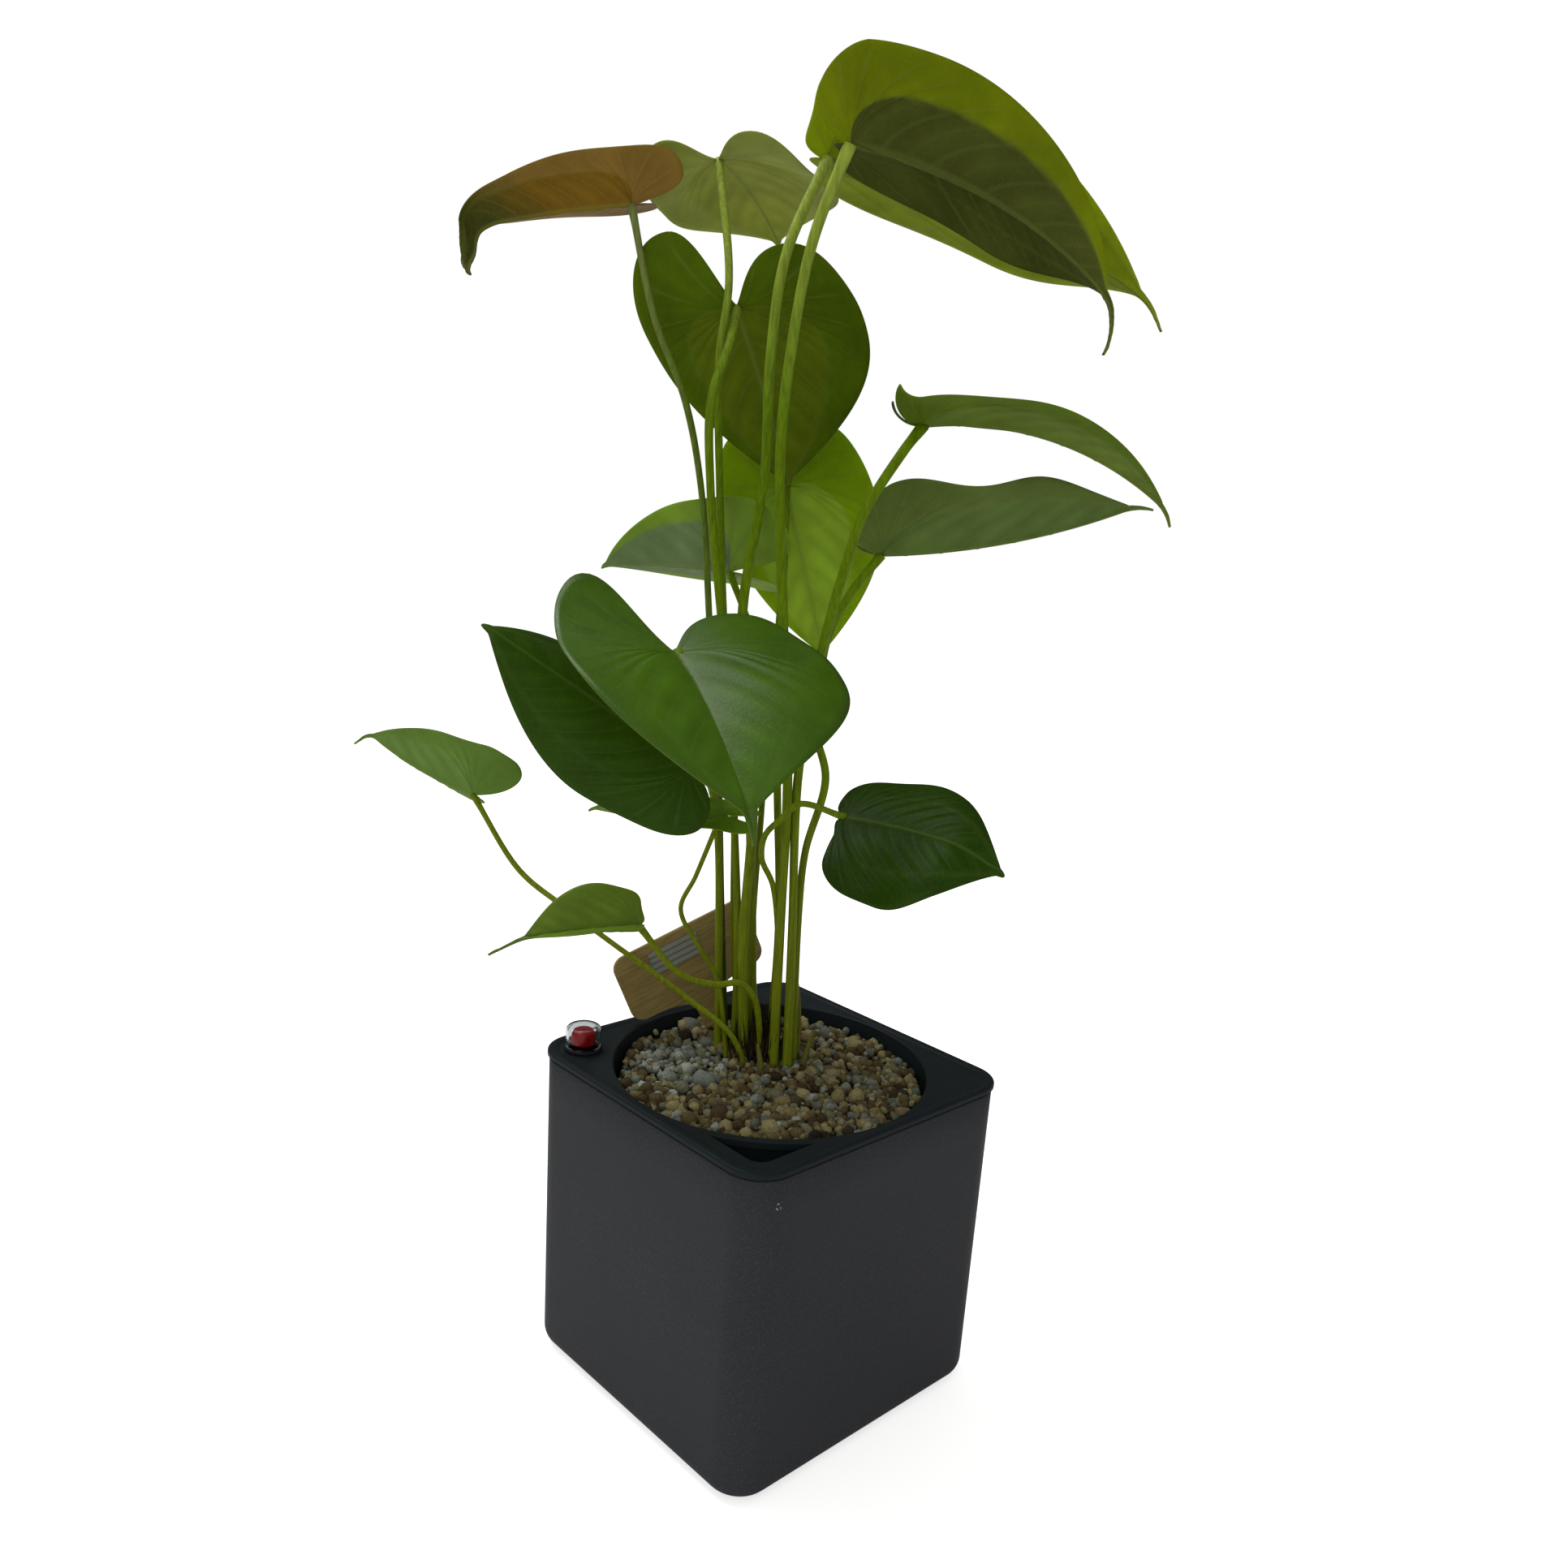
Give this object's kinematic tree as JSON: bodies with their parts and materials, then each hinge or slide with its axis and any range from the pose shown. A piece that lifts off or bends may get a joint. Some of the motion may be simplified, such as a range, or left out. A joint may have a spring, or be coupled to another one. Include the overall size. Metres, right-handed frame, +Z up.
{
  "type": "potted anthurium",
  "caption": "Potted anthurium with heart-shaped, drip-tipped leaves on long thin stalks, in a square self-watering planter with a level indicator and a wooden plant label.",
  "frame": {"origin": "middle of the planter's flat underside", "axes": "+Z up the plant; the planter's four walls face +X, -X, +Y and -Y; the filler corner is at +X -Y and the level indicator at -X -Y"},
  "size_m": [0.2823, 0.2279, 0.5101],
  "materials": {
    "shell": "fine satin",
    "liner": "satin",
    "clear": "clear gloss",
    "float": "gloss",
    "medium": "rough mineral granules",
    "crown": "fibrous",
    "wood": "plain, sanded",
    "paper": "matt film",
    "stalk": "satin, living",
    "leaf": "satin to glossy, living",
    "young_leaf": "glossy bronze, living",
    "sheath": "papery"
  },
  "bodies": {
    "root": {"outer_planter": "shell", "liner": "liner", "indicator_tube": "liner", "indicator_cap": "clear", "indicator_float": "float", "substrate": "medium", "rootstock": "crown", "plant_tag": "wood", "tag_label": "paper", "sheath_front": "sheath", "sheath_right": "sheath", "shoot": "sheath", "petiole_top_right": "stalk", "blade_top_right": "leaf", "petiole_top_right_behind": "stalk", "blade_top_right_behind": "leaf", "petiole_top_back": "stalk", "blade_top_back": "leaf", "petiole_top_left_young": "stalk", "blade_top_left_young": "young_leaf", "petiole_middle_back": "stalk", "blade_middle_back": "leaf", "petiole_lower_back": "stalk", "blade_lower_back": "leaf", "petiole_left_back": "stalk", "blade_left_back": "leaf", "petiole_right_upper": "stalk", "blade_right_upper": "leaf", "petiole_right_lower": "stalk", "blade_right_lower": "leaf", "petiole_front": "stalk", "blade_front": "leaf", "petiole_front_left": "stalk", "blade_front_left": "leaf", "petiole_far_left_small": "stalk", "blade_far_left_small": "leaf", "petiole_lower_left_small": "stalk", "blade_lower_left_small": "leaf", "petiole_right_dark": "stalk", "blade_right_dark": "leaf", "petiole_left_hidden": "stalk", "blade_left_hidden": "leaf"}
  },
  "joints": []
}
